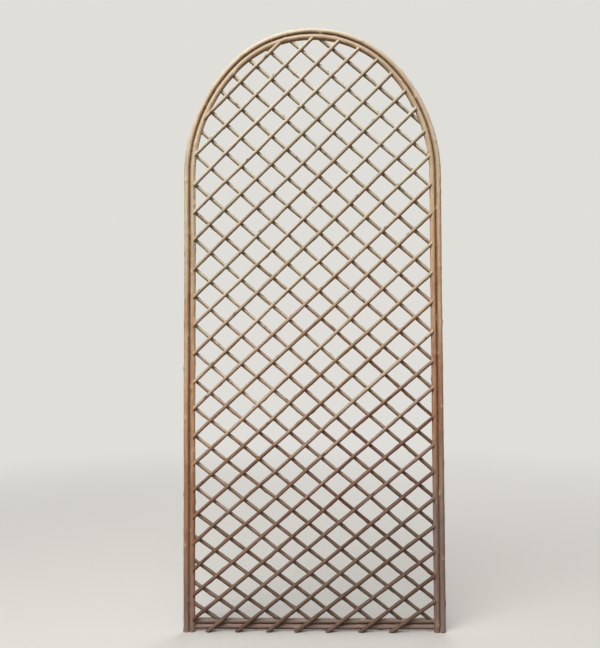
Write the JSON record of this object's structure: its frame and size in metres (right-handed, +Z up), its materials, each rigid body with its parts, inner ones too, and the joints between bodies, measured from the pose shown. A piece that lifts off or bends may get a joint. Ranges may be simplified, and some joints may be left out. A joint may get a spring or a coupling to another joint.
{
  "type": "willow trellis",
  "caption": "Arched garden trellis panel of nailed willow rods: bent double-hoop frame, diamond lattice and a double rail at the foot, for climbing plants.",
  "frame": {"origin": "on the ground, in the middle of the panel's width and depth", "axes": "+X across the panel to the right, +Y towards its back, +Z up to the crown"},
  "size_m": [0.77, 0.0282, 1.7998],
  "materials": {
    "frame_willow": "dry bark, matt",
    "lattice_willow": "dry bark, matt",
    "nail_steel": "dull wire"
  },
  "bodies": {
    "root": {"outer_hoop": "frame_willow", "inner_hoop": "frame_willow", "upper_rail": "frame_willow", "lower_rail": "frame_willow", "rising_rod_01": "lattice_willow", "rising_rod_02": "lattice_willow", "rising_rod_03": "lattice_willow", "rising_rod_04": "lattice_willow", "rising_rod_05": "lattice_willow", "rising_rod_06": "lattice_willow", "rising_rod_07": "lattice_willow", "rising_rod_08": "lattice_willow", "rising_rod_09": "lattice_willow", "rising_rod_10": "lattice_willow", "rising_rod_11": "lattice_willow", "rising_rod_12": "lattice_willow", "rising_rod_13": "lattice_willow", "rising_rod_14": "lattice_willow", "rising_rod_15": "lattice_willow", "rising_rod_16": "lattice_willow", "rising_rod_17": "lattice_willow", "rising_rod_18": "lattice_willow", "rising_rod_19": "lattice_willow", "rising_rod_20": "lattice_willow", "rising_rod_21": "lattice_willow", "rising_rod_22": "lattice_willow", "rising_rod_23": "lattice_willow", "rising_rod_24": "lattice_willow", "rising_rod_25": "lattice_willow", "rising_rod_26": "lattice_willow", "falling_rod_01": "lattice_willow", "falling_rod_02": "lattice_willow", "falling_rod_03": "lattice_willow", "falling_rod_04": "lattice_willow", "falling_rod_05": "lattice_willow", "falling_rod_06": "lattice_willow", "falling_rod_07": "lattice_willow", "falling_rod_08": "lattice_willow", "falling_rod_09": "lattice_willow", "falling_rod_10": "lattice_willow", "falling_rod_11": "lattice_willow", "falling_rod_12": "lattice_willow", "falling_rod_13": "lattice_willow", "falling_rod_14": "lattice_willow", "falling_rod_15": "lattice_willow", "falling_rod_16": "lattice_willow", "falling_rod_17": "lattice_willow", "falling_rod_18": "lattice_willow", "falling_rod_19": "lattice_willow", "falling_rod_20": "lattice_willow", "falling_rod_21": "lattice_willow", "falling_rod_22": "lattice_willow", "falling_rod_23": "lattice_willow", "falling_rod_24": "lattice_willow", "falling_rod_25": "lattice_willow", "falling_rod_26": "lattice_willow", "lattice_nails": "nail_steel", "frame_nails": "nail_steel", "rail_nails": "nail_steel"}
  },
  "joints": []
}
